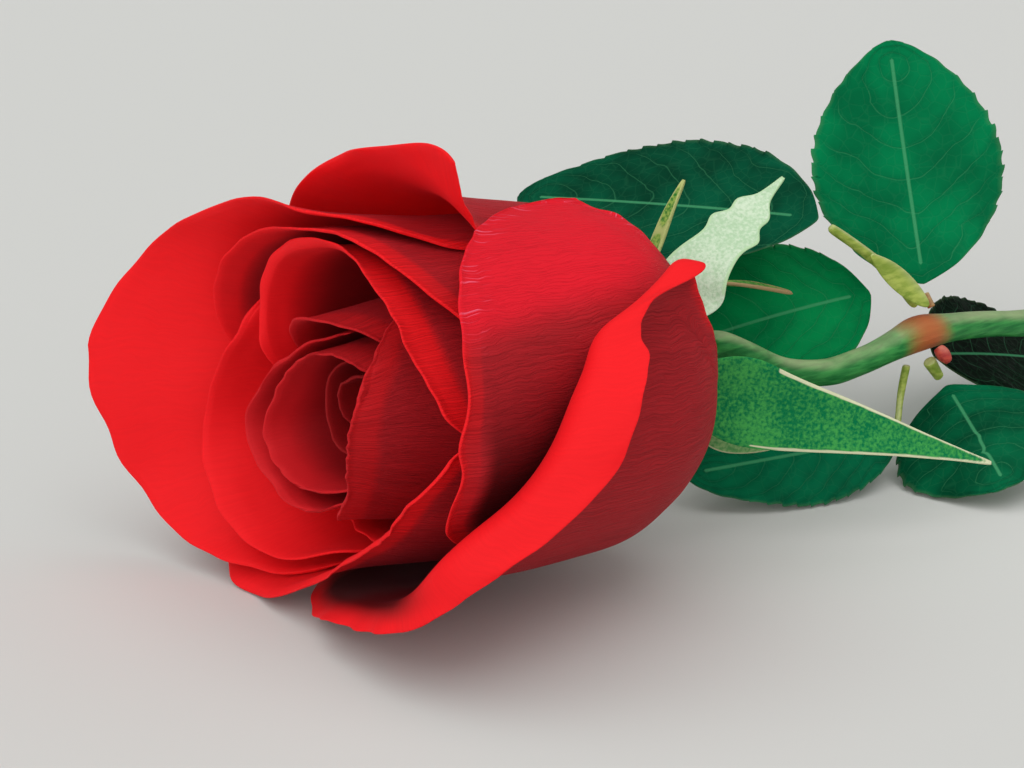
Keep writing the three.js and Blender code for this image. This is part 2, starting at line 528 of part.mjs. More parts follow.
const LEAFLETS = [
  { name: 'leaflet_upper_end', from: fromJoint(-13.8, 5.8, 17), to: fromJoint(-28.2, 48.5, 13.1),
    face: [vector(-0.5, -0.15, 0.9), vector(-0.4, -0.2, 0.95)], width: 25, sag: 0.5, fold: 6,
    teeth: 12 },
  { name: 'leaflet_upper_near', from: fromJoint(1.8, 1.2, 6.1), to: fromJoint(5.6, 12.8, 36.3),
    face: [vector(-0.55, -0.75, 0.4), vector(-0.6, -0.72, 0.3)], width: 26.2,
    sag: -1.5, fold: 5, teeth: 12 },
  { name: 'leaflet_upper_far', from: fromJoint(-1.4, 7.6, 4), to: fromJoint(-28.2, 20, -2),
    face: [vector(-0.5, -0.55, 0.75), vector(-0.4, -0.5, 0.8)], width: 22, sag: 2, fold: 6,
    teeth: 10 },
  { name: 'leaflet_lower_end', from: fromJoint(2.6, -3, -7), to: fromJoint(-4.2, -20, -14.7),
    face: [vector(-0.55, -0.35, 0.75), vector(-0.55, -0.35, 0.75)], width: 23, sag: 1.5, fold: -14,
    teeth: 9 },
  { name: 'leaflet_lower_left', from: fromJoint(-6.4, -2.6, -12.2), to: fromJoint(-35.2, 7, -13.2),
    face: [vector(-0.35, -0.6, 0.85), vector(-0.3, -0.7, 0.8)], width: 15.5, sag: -0.3, fold: 4,
    teeth: 11 },
  { name: 'leaflet_lower_right', from: fromJoint(7, 3.4, -5.6), to: fromJoint(40, 8, -15.4),
    face: [vector(-0.1, -0.6, 0.9), vector(0, -0.5, 0.9)], width: 22, sag: 1, fold: 6, teeth: 11 },
];

for (const { name, ...shape } of LEAFLETS) {
  addPiece(rose, name, leafletGeometry(shape), COLOURS.leaf, 0.5);
}

// ---- Prickles on the lower stem, each a bent cone on the bark

function prickleGeometry(share, angle) {
  const foot = besideStem(share, angle, STEM_RADIUS + FIT_GAP);
  const middle = besideStem(share + 0.003, angle, STEM_RADIUS + FIT_GAP + PRICKLE_HEIGHT * 0.6);
  const tip = besideStem(share + 0.012, angle, STEM_RADIUS + FIT_GAP + PRICKLE_HEIGHT);
  const curve = new THREE.QuadraticBezierCurve3(foot, middle, tip);
  return tubeGeometry(curve, (along) => 0.12 + 1.2 * (1 - along) ** 1.6, 5, 8);
}

// A red bud sits under the joint, in the fork of the lower leaf.
function budGeometry() {
  const share = jointShare + 0.004;
  const foot = besideStem(share, 118, JOINT_RADIUS + FIT_GAP);
  const tip = besideStem(share + 0.004, 126, JOINT_RADIUS + FIT_GAP + 2.4);
  const curve = new THREE.LineCurve3(foot, tip);
  const swelling = (along) => 0.3 + 0.75 * Math.sin(Math.PI * (0.15 + 0.8 * along)) ** 0.8;
  return tubeGeometry(curve, swelling, 6, 8);
}
addPiece(rose, 'joint_bud', budGeometry(), COLOURS.prickle, 0.5);

const PRICKLES = [[0.46, 40], [0.58, -60], [0.71, 70], [0.85, -25]];
PRICKLES.forEach(([share, angle], i) => {
  addPiece(rose, `prickle_${i + 1}`, prickleGeometry(share, angle), COLOURS.prickle, 0.5);
});

// ---- Stand the rose on its origin

rose.updateMatrixWorld(true);
const bounds = new THREE.Box3().setFromObject(rose, true);
const centre = bounds.getCenter(vector(0, 0, 0));
rose.position.set(-centre.x, -centre.y, -bounds.min.z);

export default rose;
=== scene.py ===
# %% [markdown]
# # A cut rose lying on its side
#
# The imported part is a frame of plain solids: nineteen petals, a hip, five sepals, a stem with its
# prickles, and two compound leaves. This lesson turns each of them into living tissue. It loads the
# frame first.

import heapq
import math

import bpy
import numpy as np
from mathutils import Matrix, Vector


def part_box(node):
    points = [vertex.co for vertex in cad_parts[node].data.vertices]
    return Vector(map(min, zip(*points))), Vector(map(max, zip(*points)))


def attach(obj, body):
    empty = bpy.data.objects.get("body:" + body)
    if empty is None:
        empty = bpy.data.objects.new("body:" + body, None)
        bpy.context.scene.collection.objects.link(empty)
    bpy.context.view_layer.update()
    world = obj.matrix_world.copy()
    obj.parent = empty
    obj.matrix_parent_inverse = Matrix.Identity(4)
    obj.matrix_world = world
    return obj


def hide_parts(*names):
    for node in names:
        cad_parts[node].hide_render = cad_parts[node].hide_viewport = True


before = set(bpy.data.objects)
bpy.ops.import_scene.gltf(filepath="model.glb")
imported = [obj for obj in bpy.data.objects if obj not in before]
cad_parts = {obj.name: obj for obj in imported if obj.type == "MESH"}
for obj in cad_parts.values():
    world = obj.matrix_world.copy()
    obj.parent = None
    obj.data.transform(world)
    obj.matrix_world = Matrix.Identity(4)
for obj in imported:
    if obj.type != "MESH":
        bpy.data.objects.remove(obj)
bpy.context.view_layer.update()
MM = 0.001

# %% [markdown]
# ## Where the bloom is
#
# Petals are easiest to describe in the bloom's own terms: how far a point is along the bloom, how
# far from its middle line, and which way round it. The hip is turned about that line, so the middle
# of its box gives the bloom's base.

# %% The bloom's own directions
BLOOM_TILT = math.radians(4)
BASE_FROM_HIP = Vector((2.18, 0.0, -0.185)) * MM
hip_low, hip_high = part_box("hip")
hip_middle = (hip_low + hip_high) / 2
bloom_base = hip_middle + BASE_FROM_HIP
bloom_out = Vector((-math.cos(BLOOM_TILT), 0.0, math.sin(BLOOM_TILT)))
bloom_near = Vector((0.0, -1.0, 0.0))
bloom_up = Vector((math.sin(BLOOM_TILT), 0.0, math.cos(BLOOM_TILT)))
print("bloom base in mm:", [round(v / MM, 1) for v in bloom_base])


def in_bloom(points):
    """Points as (angle round the bloom, distance from its middle line, height along it)."""
    local = points - np.array(bloom_base)
    near = local @ np.array(bloom_near)
    up = local @ np.array(bloom_up)
    return np.arctan2(up, near), np.hypot(near, up), local @ np.array(bloom_out)


# %% [markdown]
# ## The camera
#
# The rose is seen from its front left corner and a little above, through a long lens, which keeps
# the bloom's proportions. The camera's place is given by its turn and height about the bloom's
# base, and by how far the base stands from the middle of the view.

# %% Camera
CAMERA_TURN = math.radians(-40)
CAMERA_HEIGHT = math.radians(20)
CAMERA_DISTANCE = 350 * MM
BASE_RIGHT = 19.44 * MM
BASE_UP = 3.94 * MM

back = Vector((
    math.sin(CAMERA_TURN) * math.cos(CAMERA_HEIGHT),
    -math.cos(CAMERA_TURN) * math.cos(CAMERA_HEIGHT),
    math.sin(CAMERA_HEIGHT),
))
right = Vector((math.cos(CAMERA_TURN), math.sin(CAMERA_TURN), 0.0))
above = back.cross(right)
camera_data = bpy.data.cameras.new("camera")
camera_data.lens = 100
camera_data.sensor_width = 36
camera = bpy.data.objects.new("camera", camera_data)
bpy.context.scene.collection.objects.link(camera)
camera.location = bloom_base + CAMERA_DISTANCE * back - BASE_RIGHT * right - BASE_UP * above
camera.rotation_mode = "QUATERNION"
camera.rotation_quaternion = (-back).to_track_quat("-Z", "Y")
bpy.context.scene.camera = camera
print("camera at", [round(v, 3) for v in camera.location])

# %% [markdown]
# ## Floor and light
#
# The rose lies on a plain pale table in a bright room. The light is as soft as a window's: a wide
# sun from above and a weaker one from the open side of the bloom, so that the rims glow and the
# folds behind them go dark, and the petal colours add painted light at the rims and painted shade
# in the folds. Two faint suns from the front and the side fill the shadows. The standard view
# keeps a strong red as strong as it is, where a filmic one would pale it.


# %% Floor, world and lamps
def select_only(*objects):
    bpy.ops.object.select_all(action="DESELECT")
    for each in objects:
        each.select_set(True)
    bpy.context.view_layer.objects.active = objects[0]


def plain_material(name, colour, roughness):
    material = bpy.data.materials.new(name)
    material.use_nodes = True
    shader = material.node_tree.nodes["Principled BSDF"]
    shader.inputs["Base Color"].default_value = (*colour, 1.0)
    shader.inputs["Roughness"].default_value = roughness
    return material


bpy.ops.object.select_all(action="DESELECT")
bpy.ops.mesh.primitive_plane_add(size=8, location=(0, 0, 0))
floor = bpy.context.object
floor.name = "floor"
floor.data.materials.append(plain_material("pale_table", (0.66, 0.665, 0.64), 0.9))

world = bpy.data.worlds.new("room")
world.use_nodes = True
world.node_tree.nodes["Background"].inputs["Color"].default_value = (0.70, 0.70, 0.70, 1.0)
world.node_tree.nodes["Background"].inputs["Strength"].default_value = 0.4
bpy.context.scene.world = world


def add_sun(name, direction, width, power):
    """A sun that shines from a direction, as wide in degrees as its shadows are soft."""
    data = bpy.data.lights.new(name, "SUN")
    data.angle = math.radians(width)
    data.energy = power
    sun = bpy.data.objects.new(name, data)
    bpy.context.scene.collection.objects.link(sun)
    sun.location = bloom_base + Vector(direction).normalized() * 0.5
    sun.rotation_mode = "QUATERNION"
    sun.rotation_quaternion = Vector(direction).to_track_quat("Z", "Y")


add_sun("ceiling_light", (-0.25, 0.0, 1.0), 80, 1.45)
add_sun("window_light", (-1.0, -0.4, 0.45), 50, 0.85)
add_sun("front_fill", (-0.8, -0.75, 0.2), 70, 0.45)
add_sun("side_fill", (0.5, -0.8, 0.8), 80, 0.5)
bpy.context.scene.view_settings.view_transform = "Standard"
print("lamps:", len(bpy.data.lights))

# %% [markdown]
# ## A fine copy of a plain solid
#
# The frame's solids have the right shape in coarse facets. A fine piece starts as a copy of one:
# its loose triangles are merged at their shared corners and joined back into four-sided faces, and
# a Subdivision Surface then rounds them, as a potter smooths a slab. The frame's own node stays as
# it is, hidden, for the physics.


# %% Copy, merge and join faces
MERGE_DISTANCE = 0.001 * MM
JOIN_ANGLE = math.radians(100)
JOIN_SHAPE = math.radians(120)


def coarse_copy(node_name):
    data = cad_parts[node_name].data.copy()
    data.materials.clear()
    piece = bpy.data.objects.new(node_name + "_fine", data)
    bpy.context.scene.collection.objects.link(piece)
    select_only(piece)
    bpy.ops.object.mode_set(mode="EDIT")
    bpy.ops.mesh.select_all(action="SELECT")
    bpy.ops.mesh.remove_doubles(threshold=MERGE_DISTANCE)
    bpy.ops.mesh.tris_convert_to_quads(
        face_threshold=JOIN_ANGLE, shape_threshold=JOIN_SHAPE, topology_influence=2.0)
    bpy.ops.object.mode_set(mode="OBJECT")
    return piece


def points_of(piece):
    flat = np.empty(len(piece.data.vertices) * 3)
    piece.data.vertices.foreach_get("co", flat)
    return flat.reshape(-1, 3)


def set_points(piece, points):
    piece.data.vertices.foreach_set("co", points.ravel())
    piece.data.update()


def set_values(piece, name, values):
    attribute = piece.data.attributes.new(name, "FLOAT", "POINT")
    attribute.data.foreach_set("value", np.asarray(values, np.float32))


def values_of(piece, name):
    values = np.empty(len(piece.data.vertices), np.float32)
    piece.data.attributes[name].data.foreach_get("value", values)
    return values.astype(float)


def vectors_of(piece, name):
    flat = np.empty(len(piece.data.vertices) * 3, np.float32)
    piece.data.attributes[name].data.foreach_get("vector", flat)
    return flat.reshape(-1, 3).astype(float)


def set_vectors(piece, name, vectors):
    attribute = piece.data.attributes.new(name, "FLOAT_VECTOR", "POINT")
    attribute.data.foreach_set("vector", np.asarray(vectors, np.float32).ravel())


def smooth_finely(piece, levels):
    select_only(piece)
    rounding = piece.modifiers.new("rounding", "SUBSURF")
    rounding.levels = levels
    rounding.render_levels = levels
    bpy.ops.object.modifier_apply(modifier=rounding.name)
    bpy.ops.object.shade_smooth()


def stand_for(piece, node_name, material):
    piece.data.materials.clear()
    piece.data.materials.append(material)
    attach(piece, "root")
    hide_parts(node_name)


# %% [markdown]
# ## A sheet knows its own grain
#
# Petals, sepals and leaflets are thin sheets with a foot and a free edge. Veins run from the foot
# outwards, and ripples and pale rims follow the edge, so each point of a sheet is told how far it
# is from the foot and from the free edge, measured along the surface. These distances are walked
# along the coarse faces' edges, and the Subdivision Surface then spreads them over the fine ones.


# %% Distances along a sheet
FOOT_BAND = 0.6 * MM
FREE_EDGE_FROM = 0.3      # as a share of the way from the foot to the tip
STRIP_SLACK = 0.004       # as a share of the sheet's thickness


def walk(neighbours, starts, count):
    """Shortest way along the edges from any of the starts to every point."""
    reached = np.full(count, np.inf)
    queue = []
    for start in starts:
        reached[start] = 0.0
        heapq.heappush(queue, (0.0, int(start)))
    while queue:
        so_far, here = heapq.heappop(queue)
        if so_far > reached[here]:
            continue
        for there, length in neighbours[here]:
            if so_far + length < reached[there]:
                reached[there] = so_far + length
                heapq.heappush(queue, (so_far + length, there))
    return reached


def read_sheet(piece, thickness, foot_height, outside):
    """Stores grain attributes on a coarse sheet.

    foot_height gives each point's height over the foot, and outside which way is outwards there.
    """
    points = points_of(piece)
    count = len(points)
    neighbours = [[] for _ in range(count)]
    border = set()
    for edge in piece.data.edges:
        a, b = edge.vertices
        length = float(np.linalg.norm(points[a] - points[b]))
        if abs(length - thickness) < STRIP_SLACK * thickness:
            border.update((a, b))
            continue
        neighbours[a].append((b, length))
        neighbours[b].append((a, length))
    # The two faces of the sheet are what the edge strip joins.
    first = np.isfinite(walk(neighbours, [0], count))
    toward = outside(points)
    normals = np.zeros((count, 3))
    for face in piece.data.polygons:
        corners = list(face.vertices)
        if len({bool(first[c]) for c in corners}) == 1:
            normals[corners] += np.array(face.normal) * face.area
    normals /= np.maximum(np.linalg.norm(normals, axis=1, keepdims=True), 1e-12)
    # A rim may roll right over, so only the half near the foot tells the outer face.
    over_foot = foot_height(points)
    steady = first & (over_foot < 0.5 * over_foot.max())
    agree = float(np.sum(normals[steady] * toward[steady]))
    outer = first if agree > 0 else ~first
    normals[~outer] *= -1
    feet = np.flatnonzero(over_foot < FOOT_BAND)
    along = walk(neighbours, feet, count)
    border = np.array(sorted(border))
    free = border[along[border] > FREE_EDGE_FROM * along[np.isfinite(along)].max()]
    edge_distance = walk(neighbours, free, count)
    set_values(piece, "along", along / MM)
    set_values(piece, "edge", edge_distance / MM)
    set_values(piece, "outer", outer)
    set_vectors(piece, "outwards", normals)
    return neighbours, along, edge_distance, border


# %% [markdown]
# ## Gentle irregularity
#
# Nothing that grows is even. A few waves that cross each other at odd angles make a smooth, random
# looking swell, which is the same each time because it starts from a fixed seed.


# %% A smooth swell
def swell(points, size, seed):
    """A smooth field between about -1 and 1, whose bumps are about size across."""
    chance = np.random.default_rng(seed)
    total = np.zeros(len(points))
    waves = 6
    for _ in range(waves):
        direction = chance.normal(size=points.shape[1])
        direction /= np.linalg.norm(direction)
        pace = 2 * math.pi / (size * chance.uniform(0.8, 1.7))
        total += np.sin(points @ direction * pace + chance.uniform(0, 2 * math.pi))
    return total / math.sqrt(waves * 2)


# %% [markdown]
# ## Finishing nodes
#
# The finishes are built from a few small blocks: a value stored on the mesh, a sum or product, a
# soft step, and a mix of two colours. Short helpers keep each finish readable.


# %% Node helpers
def new_finish(name):
    material = bpy.data.materials.new(name)
    material.use_nodes = True
    tree = material.node_tree
    return material, tree, tree.nodes["Principled BSDF"]


def link(tree, source, target):
    if isinstance(source, (int, float)):
        target.default_value = source
    elif isinstance(source, tuple):
        target.default_value = (*source, 1.0)
    else:
        tree.links.new(source, target)


def stored(tree, name):
    node = tree.nodes.new("ShaderNodeAttribute")
    node.attribute_name = name
    return node.outputs["Fac"]


def maths(tree, operation, a, b=0.0):
    node = tree.nodes.new("ShaderNodeMath")
    node.operation = operation
    link(tree, a, node.inputs[0])
    link(tree, b, node.inputs[1])
    return node.outputs[0]


def soft_step(tree, value, low, high, start=0.0, end=1.0):
    node = tree.nodes.new("ShaderNodeMapRange")
    node.interpolation_type = "SMOOTHSTEP"
    link(tree, value, node.inputs["Value"])
    node.inputs["From Min"].default_value = low
    node.inputs["From Max"].default_value = high
    node.inputs["To Min"].default_value = start
    node.inputs["To Max"].default_value = end
    return node.outputs["Result"]


def blend_colours(tree, share, a, b, kind="MIX"):
    node = tree.nodes.new("ShaderNodeMix")
    node.data_type = "RGBA"
    node.blend_type = kind
    link(tree, share, node.inputs["Factor"])
    link(tree, a, node.inputs["A"])
    link(tree, b, node.inputs["B"])
    return node.outputs["Result"]


def across_and_along(tree, across, along):
    node = tree.nodes.new("ShaderNodeCombineXYZ")
    link(tree, across, node.inputs["X"])
    link(tree, along, node.inputs["Y"])
    return node.outputs["Vector"]


def cloudy(tree, vector, scale, detail=2.0):
    node = tree.nodes.new("ShaderNodeTexNoise")
    node.inputs["Scale"].default_value = scale
    node.inputs["Detail"].default_value = detail
    if vector is None:
        vector = object_place(tree)
    link(tree, vector, node.inputs["Vector"])
    return node.outputs["Fac"]


def object_place(tree):
    return tree.nodes.new("ShaderNodeTexCoord").outputs["Object"]


def stretched_place(tree, scale):
    node = tree.nodes.new("ShaderNodeMapping")
    node.inputs["Scale"].default_value = scale
    link(tree, object_place(tree), node.inputs["Vector"])
    return node.outputs["Vector"]


def net_lines(tree, vector, width):
    """Thin lines between stretched cells, as the veins of a petal or leaf."""
    node = tree.nodes.new("ShaderNodeTexVoronoi")
    node.feature = "DISTANCE_TO_EDGE"
    node.inputs["Scale"].default_value = 1.0
    link(tree, vector, node.inputs["Vector"])
    return soft_step(tree, node.outputs["Distance"], 0.0, width, 1.0, 0.0)


def add_relief(tree, shader, height, depth_mm):
    node = tree.nodes.new("ShaderNodeBump")
    node.inputs["Distance"].default_value = depth_mm * MM
    node.inputs["Strength"].default_value = 1.0
    link(tree, height, node.inputs["Height"])
    tree.links.new(node.outputs["Normal"], shader.inputs["Normal"])


# %% [markdown]
# ## Petal reds
#
# A fresh red rose has one bright red at its rims and faces, and a duller one on its backs. Deep
# between the petals the red sinks to crimson, partly a deeper red of its own and partly painted
# shade, and nearly to black, which is painted shade.

# %% Petal colours
# The crimson is partly the petals' own deeper red and partly painted shade. The near black red, the
# dimmer inner rim and the two heart reds are painted shade, the pink is a painted sheen, and the
# pale pink is for painted highlights.
BRIGHT = (0.88, 0.0095, 0.014)
CRIMSON = (0.3, 0.006, 0.009)
PAINTED_SHADE_RED = (0.03, 0.0006, 0.001)
BACK_RED = (0.42, 0.012, 0.018)
SHADED_INNER_RIM = (0.62, 0.011, 0.016)
SHADED_HEART_BACK = (0.1, 0.002, 0.003)
SHADED_HEART_RIM = (0.3, 0.006, 0.008)
PAINTED_SHEEN_PINK = (0.86, 0.009, 0.025)
PAINTED_HIGHLIGHT_PINK = (0.9, 0.25, 0.42)
SHEEN_TINT = (1.0, 0.15, 0.2, 1.0)
PAINTED_SHADE_SHARE = 0.93
print("petal reds:", len((BRIGHT, CRIMSON, PAINTED_SHADE_RED, BACK_RED, SHADED_INNER_RIM, SHADED_HEART_BACK, SHADED_HEART_RIM)))

# %% [markdown]
# ## The grain of a petal
#
# Fine fibres and a net of veins fan out from the petal's foot, so both are drawn in the petal's own
# turn and length. They show as small changes of shade, strongest on the petal's back.


# %% Petal grain
FIBRES_PER_RADIAN = 90.0
VEINS_PER_RADIAN = 60.0


def petal_grain(tree, turn, along):
    """The streaks and the net of veins of a petal."""
    warp = cloudy(tree, None, 200.0)
    bent_turn = maths(tree, "ADD", turn, maths(tree, "MULTIPLY", warp, 0.08))
    fan = across_and_along(tree, maths(tree, "MULTIPLY", bent_turn, FIBRES_PER_RADIAN),
                           maths(tree, "MULTIPLY", along, 0.12))
    net = across_and_along(tree, maths(tree, "MULTIPLY", bent_turn, VEINS_PER_RADIAN),
                           maths(tree, "MULTIPLY", along, 0.2))
    return cloudy(tree, fan, 1.0, 3.0), net_lines(tree, net, 0.1)


def grain_shade(tree, streaks, veins, patches, evenness):
    """A grey near 1 that the petal's colour is multiplied by."""
    streak_shade = soft_step(tree, streaks, 0.3, 0.7, 0.8, 1.08)
    patch_shade = soft_step(tree, patches, 0.3, 0.7, 0.94, 1.04)
    vein_shade = maths(tree, "SUBTRACT", 1.0, maths(tree, "MULTIPLY", veins, 0.1))
    shade = maths(tree, "MULTIPLY", maths(tree, "MULTIPLY", streak_shade, patch_shade), vein_shade)
    change = maths(tree, "MULTIPLY", maths(tree, "SUBTRACT", shade, 1.0), evenness)
    shade = maths(tree, "ADD", 1.0, change)
    grey = tree.nodes.new("ShaderNodeCombineColor")
    for channel in ("Red", "Green", "Blue"):
        link(tree, shade, grey.inputs[channel])
    return grey.outputs["Color"]


# %% [markdown]
# ## Painted shade and sheen
#
# Some petals are shaded by their neighbours, and the shade is painted: a back sinks to black red
# low down, and a face does on the side where it is turned away. One back has a painted pink sheen
# at its top, where the light grazes it, with painted pale highlights along its fibres near its edge.


# %% Painted shade and sheen
# Painted shade: a share of the colour is mixed towards the near black red.
def sink_to_painted_shade(tree, colour, share):
    return blend_colours(tree, maths(tree, "MULTIPLY", share, PAINTED_SHADE_SHARE), colour, PAINTED_SHADE_RED)


def shaded_back(tree, colour, height, edge, shade_range):
    bright_from, black_at = shade_range
    low_down = soft_step(tree, height, bright_from * MM, black_at * MM)
    return sink_to_painted_shade(tree, colour, maths(tree, "MULTIPLY", low_down, soft_step(tree, edge, 1.0, 5.0)))


def shaded_face(tree, colour, turn, edge, outer, turn_range):
    turned = soft_step(tree, turn, *turn_range)
    turned = maths(tree, "MULTIPLY", turned, soft_step(tree, edge, 0.6, 4.0))
    return sink_to_painted_shade(tree, colour, maths(tree, "MULTIPLY", turned, maths(tree, "SUBTRACT", 1.0, outer)))


# Painted sheen and painted highlights: a pink sheen high on the back, where the light grazes it, and
# pale glints along the fibres near the edge.
def painted_sheen_back(tree, colour, height, edge, outer, streaks, painted_sheen):
    high = soft_step(tree, height, 38.5 * MM, 42.5 * MM)
    rear_high = maths(tree, "MULTIPLY", high, outer)
    colour = blend_colours(tree, maths(tree, "MULTIPLY", rear_high, painted_sheen), colour, PAINTED_SHEEN_PINK)
    glint_threads = soft_step(tree, streaks, 0.58, 0.7)
    ends = soft_step(tree, edge, 5.5, 1.0)
    pale = maths(tree, "MULTIPLY", maths(tree, "MULTIPLY", glint_threads, ends), rear_high)
    return blend_colours(tree, maths(tree, "MULTIPLY", pale, 0.6), colour, PAINTED_HIGHLIGHT_PINK)


# %% [markdown]
# ## Petal finish
#
# A red petal is velvet: tiny cone-shaped cells on its face catch the light and hide the gloss. Its
# face is its own bright red near the rim and sinks to crimson towards the foot, partly a deeper red
# of its own and partly painted shade, and then to a near black red that is painted shade. Its back
# is painted bright in a narrow rim, where the light catches the rim. A petal that stands in the
# light alone also glows, because light passes through it.


# %% Petal material
def petal_finish(name, face_range, back_colour=BACK_RED, rim_width=2.0, rim_colour=BRIGHT, painted_sheen=0.0,
                 shade_range=None, turn_range=None, glow=0.0):
    """Face bright for face_range[0] mm from the edge, and crimson past face_range[1].

    The crimson is partly the petal's own deeper red and partly painted shade, and past it the face
    sinks to a near black red that is painted shade. Between the two heights of shade_range, in mm
    over the table, the petal's back sinks to that painted shade, and between the two turns of
    turn_range, its face does. glow lets light pass through it.
    """
    material, tree, shader = new_finish(name)
    edge = stored(tree, "edge")
    turn = stored(tree, "turn")
    outer = stored(tree, "outer")
    streaks, veins = petal_grain(tree, turn, stored(tree, "along"))
    patches = cloudy(tree, None, 70.0)

    # Painted shade: the face sinks from the rim's red to crimson, partly a deeper red of its own,
    # and then to a near black red deep between the petals.
    depth = maths(tree, "ADD", edge, maths(tree, "MULTIPLY", patches, 3.0))
    low, high = face_range
    face = blend_colours(tree, soft_step(tree, depth, low, high), rim_colour, CRIMSON)
    face = blend_colours(tree, soft_step(tree, depth, high, high + 9.0), face, PAINTED_SHADE_RED)
    # Painted light: the back is painted bright in a narrow rim, where the light catches the rim.
    past_rim = soft_step(tree, depth, rim_width, rim_width + 3.0)
    rear = blend_colours(tree, past_rim, rim_colour, back_colour)
    colour = blend_colours(tree, outer, face, rear)
    # The face is as even as velvet: its streaks hardly show beside the back's.
    evenness = maths(tree, "ADD", maths(tree, "MULTIPLY", outer, 0.85), 0.15)
    grey = grain_shade(tree, streaks, veins, patches, evenness)
    colour = blend_colours(tree, 1.0, colour, grey, "MULTIPLY")
    place = tree.nodes.new("ShaderNodeSeparateXYZ")
    tree.links.new(object_place(tree), place.inputs["Vector"])
    height = place.outputs["Z"]
    if shade_range:
        colour = shaded_back(tree, colour, height, edge, shade_range)
    if turn_range:
        colour = shaded_face(tree, colour, turn, edge, outer, turn_range)
    if painted_sheen:
        colour = painted_sheen_back(tree, colour, height, edge, outer, streaks, painted_sheen)
    link(tree, colour, shader.inputs["Base Color"])
    shader.inputs["Roughness"].default_value = 0.62
    shader.inputs["Specular IOR Level"].default_value = 0.12
    shader.inputs["Sheen Weight"].default_value = 0.05
    shader.inputs["Sheen Roughness"].default_value = 0.45
    shader.inputs["Sheen Tint"].default_value = SHEEN_TINT
    shader.inputs["Subsurface Weight"].default_value = glow
    shader.inputs["Subsurface Radius"].default_value = (1.0, 0.1, 0.1)
    shader.inputs["Subsurface Scale"].default_value = 1.0 * MM
    relief = maths(tree, "SUBTRACT", maths(tree, "MULTIPLY", streaks, 0.7),
                   maths(tree, "MULTIPLY", veins, 0.35))
    add_relief(tree, shader, maths(tree, "MULTIPLY", relief, evenness), 0.1)
    return material


# %% [markdown]
# ## Eleven petal finishes
#
# The nine petals of the outer and middle rings each have their own depth of painted shade. The
# inner petals share one finish with a rim dimmed as painted shade, and the furled heart petals
# share one that is painted darker still, as painted shade.

# %% The petal finishes
PETAL_LOOKS = {
    "outer_front": petal_finish("petal_front", (10.5, 15.0), rim_width=0.6,
                                turn_range=(-0.3, -0.75)),
    "outer_near": petal_finish("petal_painted_sheen", (3.0, 8.0), rim_width=1.0, painted_sheen=0.85,
                               shade_range=(39.0, 23.0)),
    "outer_top": petal_finish("petal_top", (24.0, 38.0), glow=0.8),
    "outer_low": petal_finish("petal_low", (18.0, 30.0)),
    "outer_far": petal_finish("petal_far", (28.0, 42.0), turn_range=(-0.9, -1.25), glow=0.3),
    "middle_top": petal_finish("petal_second_top", (1.5, 7.0), rim_width=1.5,
                               turn_range=(0.1, -0.5)),
    "middle_far": petal_finish("petal_second_far", (12.0, 26.0)),
    "middle_cup": petal_finish("petal_cup", (4.0, 13.0), rim_width=3.0),
    "middle_low": petal_finish("petal_second_low", (3.0, 10.0)),
}
# The inner petals' dimmer rim and the heart petals' dark reds are painted shade.
shaded_inner_petal = petal_finish("petal_inner", (2.5, 10.0), rim_colour=SHADED_INNER_RIM)
shaded_heart_petal = petal_finish("petal_heart", (0.8, 4.0), SHADED_HEART_BACK, 0.8, SHADED_HEART_RIM)
print("petal finishes:", len(PETAL_LOOKS) + 2)

# %% [markdown]
# ## The petals
#
# Each petal grew as one piece, so each is one object. The whole bloom shares one slow swell, which
# keeps neighbours from running into each other, and each petal's rim then ripples in its own way.
# The rim's outline is also nibbled a little, because a petal's edge is never a clean curve.

# %% Grow the petals
OUTER_PETALS = ("front", "near", "top", "low", "far")
MIDDLE_PETALS = ("top", "far", "cup", "low")
PETAL_THICKNESS = 0.36 * MM
BODY_SWELL = 0.3 * MM
BODY_SEED = 5
# In mm: the sizes of bumps, how far in from the rim they reach, and how far from the bloom's middle
# line a typical petal stands, which makes turns into lengths.
BODY_BUMPS = 16
RIPPLE_BUMPS = 9
NIBBLE_BUMPS = 4.5
RIPPLE_REACH = 3.5
NIBBLE_REACH = 1.2
MIDDLE_RADIUS = 22


def outwards_from_bloom(points):
    angle, _, _ = in_bloom(points)
    near = np.outer(np.cos(angle), np.array(bloom_near))
    up = np.outer(np.sin(angle), np.array(bloom_up))
    return near + up


def over_the_foot(points):
    height = in_bloom(points)[2]
    return height - height.min()


def grow_petal(node_name, levels, ripple, nibble, finish, seed):
    piece = coarse_copy(node_name)
    read_sheet(piece, PETAL_THICKNESS, over_the_foot, outwards_from_bloom)
    angle, _, _ = in_bloom(points_of(piece))
    middle = math.atan2(np.sin(angle).mean(), np.cos(angle).mean())
    turn = (angle - middle + math.pi) % (2 * math.pi) - math.pi
    set_values(piece, "turn", turn)
    smooth_finely(piece, levels)
    points = points_of(piece)
    along = values_of(piece, "along")
    edge = values_of(piece, "edge")
    grain = np.stack([values_of(piece, "turn") * MIDDLE_RADIUS, along], 1)
    outwards = vectors_of(piece, "outwards")
    rim = np.exp(-edge / RIPPLE_REACH)
    lift = BODY_SWELL * swell(points / MM, BODY_BUMPS, BODY_SEED)
    lift += ripple * MM * rim * swell(grain, RIPPLE_BUMPS, seed)
    lift *= np.clip(along / 8, 0, 1)
    margin = np.exp(-edge / NIBBLE_REACH) * np.clip(along / 12, 0, 1)
    pull = nibble * MM * margin * swell(grain, NIBBLE_BUMPS, seed + 50)
    points += outwards * lift[:, None] + np.array(bloom_out) * pull[:, None]
    set_points(piece, points)
    stand_for(piece, node_name, finish)
    return piece


